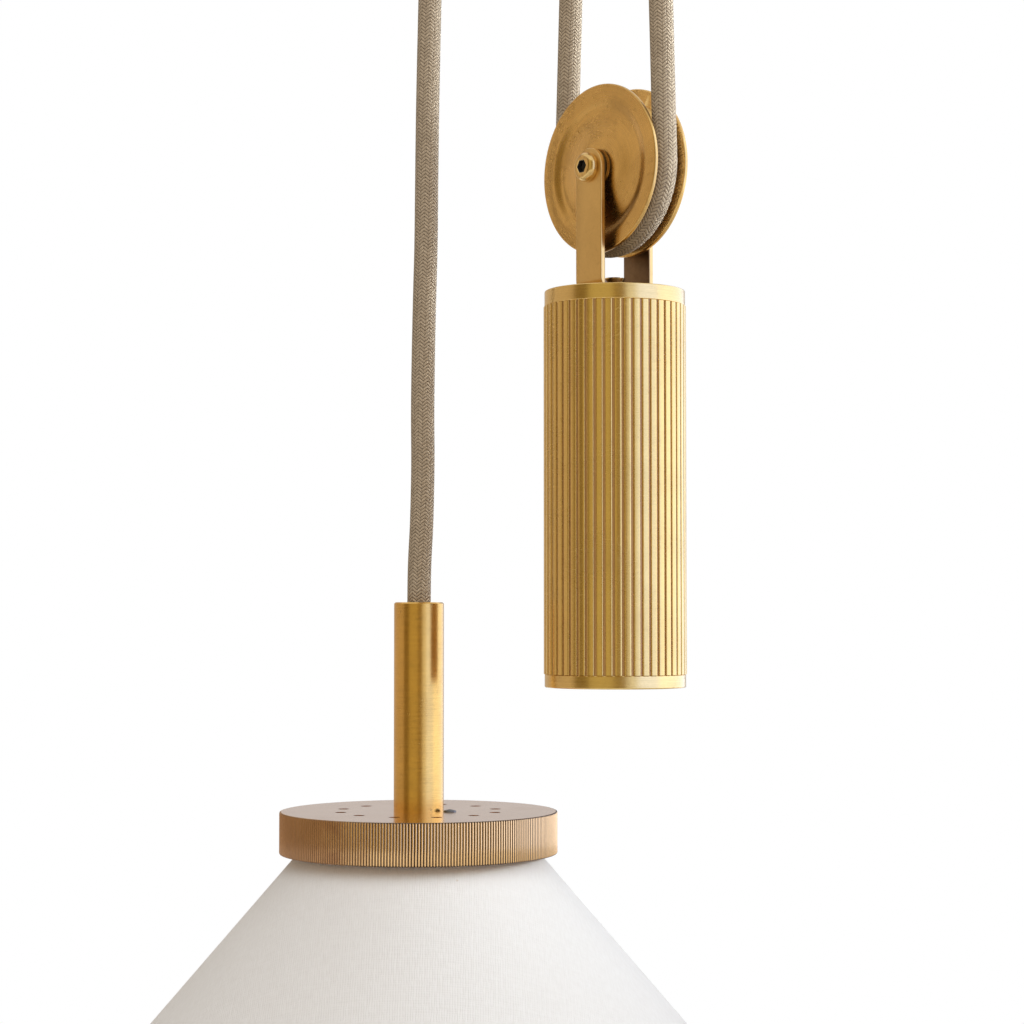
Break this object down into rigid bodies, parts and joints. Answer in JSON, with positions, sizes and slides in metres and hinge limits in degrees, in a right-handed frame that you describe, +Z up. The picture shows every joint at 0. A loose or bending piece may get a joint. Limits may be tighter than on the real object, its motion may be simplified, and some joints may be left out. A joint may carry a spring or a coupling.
{
  "type": "rise and fall pendant light",
  "caption": "Linen-shaded pendant light on a braided cord that runs over a ceiling wheel and under a wheel carrying a fluted brass counterweight.",
  "frame": {"origin": "middle of the ceiling plate, on the ceiling", "axes": "+Z up, +X to the viewer's right from the lamp towards the counterweight, +Y away from the viewer"},
  "size_m": [0.3999, 0.4, 0.756],
  "materials": {
    "aged_brass": "satin",
    "fluted_brass": "satin",
    "brown_brass": "satin",
    "bronze": "satin",
    "steel": "satin",
    "black_steel": "matte",
    "rubber": "matte",
    "nylon": "matte",
    "lead_insulation": "satin",
    "porcelain": "gloss",
    "braided_cord": "matte",
    "white_wire": "satin",
    "linen": "matte"
  },
  "bodies": {
    "root": {"ceiling_plate": "steel", "post_screws": "steel", "yoke_post": "steel", "canopy_posts": "steel", "canopy": "aged_brass", "canopy_screws": "aged_brass", "ceiling_yoke": "aged_brass", "ceiling_yoke_screw": "aged_brass", "ceiling_axle": "aged_brass", "ceiling_axle_nut": "aged_brass", "ceiling_axle_washers": "steel", "cord_grip": "aged_brass", "cord_grip_nut": "aged_brass", "cord_grip_sleeve": "rubber", "cord_grip_cap": "aged_brass", "terminal_block": "nylon", "terminal_screws": "steel", "block_screw": "steel", "earth_screw": "aged_brass", "ceiling_leads": "lead_insulation", "cord_fixed_side": "braided_cord", "cord_lift_side": "braided_cord", "cord_ceiling_turn": "braided_cord", "cord_lamp_side": "braided_cord"},
    "ceiling_wheel": {"ceiling_wheel_hub": "aged_brass", "ceiling_wheel_front": "aged_brass", "ceiling_wheel_back": "aged_brass", "ceiling_wheel_bush": "bronze"},
    "counterweight": {"cord_wheel_turn": "braided_cord", "travel_axle": "aged_brass", "travel_axle_nut": "aged_brass", "travel_axle_washers": "steel", "travel_yoke": "aged_brass", "travel_yoke_screw": "aged_brass", "weight_top_cap": "aged_brass", "weight_sleeve": "fluted_brass", "weight_core": "black_steel", "weight_bottom_cap": "aged_brass", "weight_bottom_screw": "aged_brass"},
    "travel_wheel": {"travel_wheel_hub": "aged_brass", "travel_wheel_front": "aged_brass", "travel_wheel_back": "aged_brass", "travel_wheel_bush": "bronze"},
    "lamp": {"stem": "aged_brass", "cord_clamp": "nylon", "clamp_screw": "black_steel", "lamp_leads": "lead_insulation", "stem_nipple": "steel", "shade_cap": "brown_brass", "cap_earth_screw": "steel", "nipple_nut": "steel", "holder_top": "aged_brass", "holder_skirt": "aged_brass", "holder_insert": "porcelain", "socket_shell": "aged_brass", "socket_contact": "aged_brass", "shade_ring": "aged_brass", "shade_carrier": "white_wire", "shade": "linen", "shade_bottom_wire": "white_wire"}
  },
  "joints": [
    {"name": "lamp_slide", "type": "slide", "parent": "root", "child": "lamp", "axis": [0, 0, 1], "range_m": [-0.36, 0.025], "deforming": ["cord_lamp_side"]},
    {"name": "counterweight_slide", "type": "slide", "parent": "root", "child": "counterweight", "axis": [0, 0, 1], "range_m": [-0.0125, 0.18], "deforming": ["cord_fixed_side", "cord_lift_side"]},
    {"name": "ceiling_wheel_spin", "type": "hinge", "parent": "root", "child": "ceiling_wheel", "pos_m": [-0.0235, 0.02059, -0.081], "axis": [0, 1, 0], "range_deg": [-780, 56]},
    {"name": "travel_wheel_spin", "type": "hinge", "parent": "counterweight", "child": "travel_wheel", "pos_m": [0.013, 0, -0.332], "axis": [0.7771, 0.6293, 0], "range_deg": [-28, 390]}
  ],
  "couplings": [
    {"joint": "counterweight_slide", "follows": "lamp_slide", "ratio": -0.5},
    {"joint": "ceiling_wheel_spin", "follows": "lamp_slide", "rad_per_m": 37.736},
    {"joint": "travel_wheel_spin", "follows": "lamp_slide", "rad_per_m": -18.868}
  ]
}
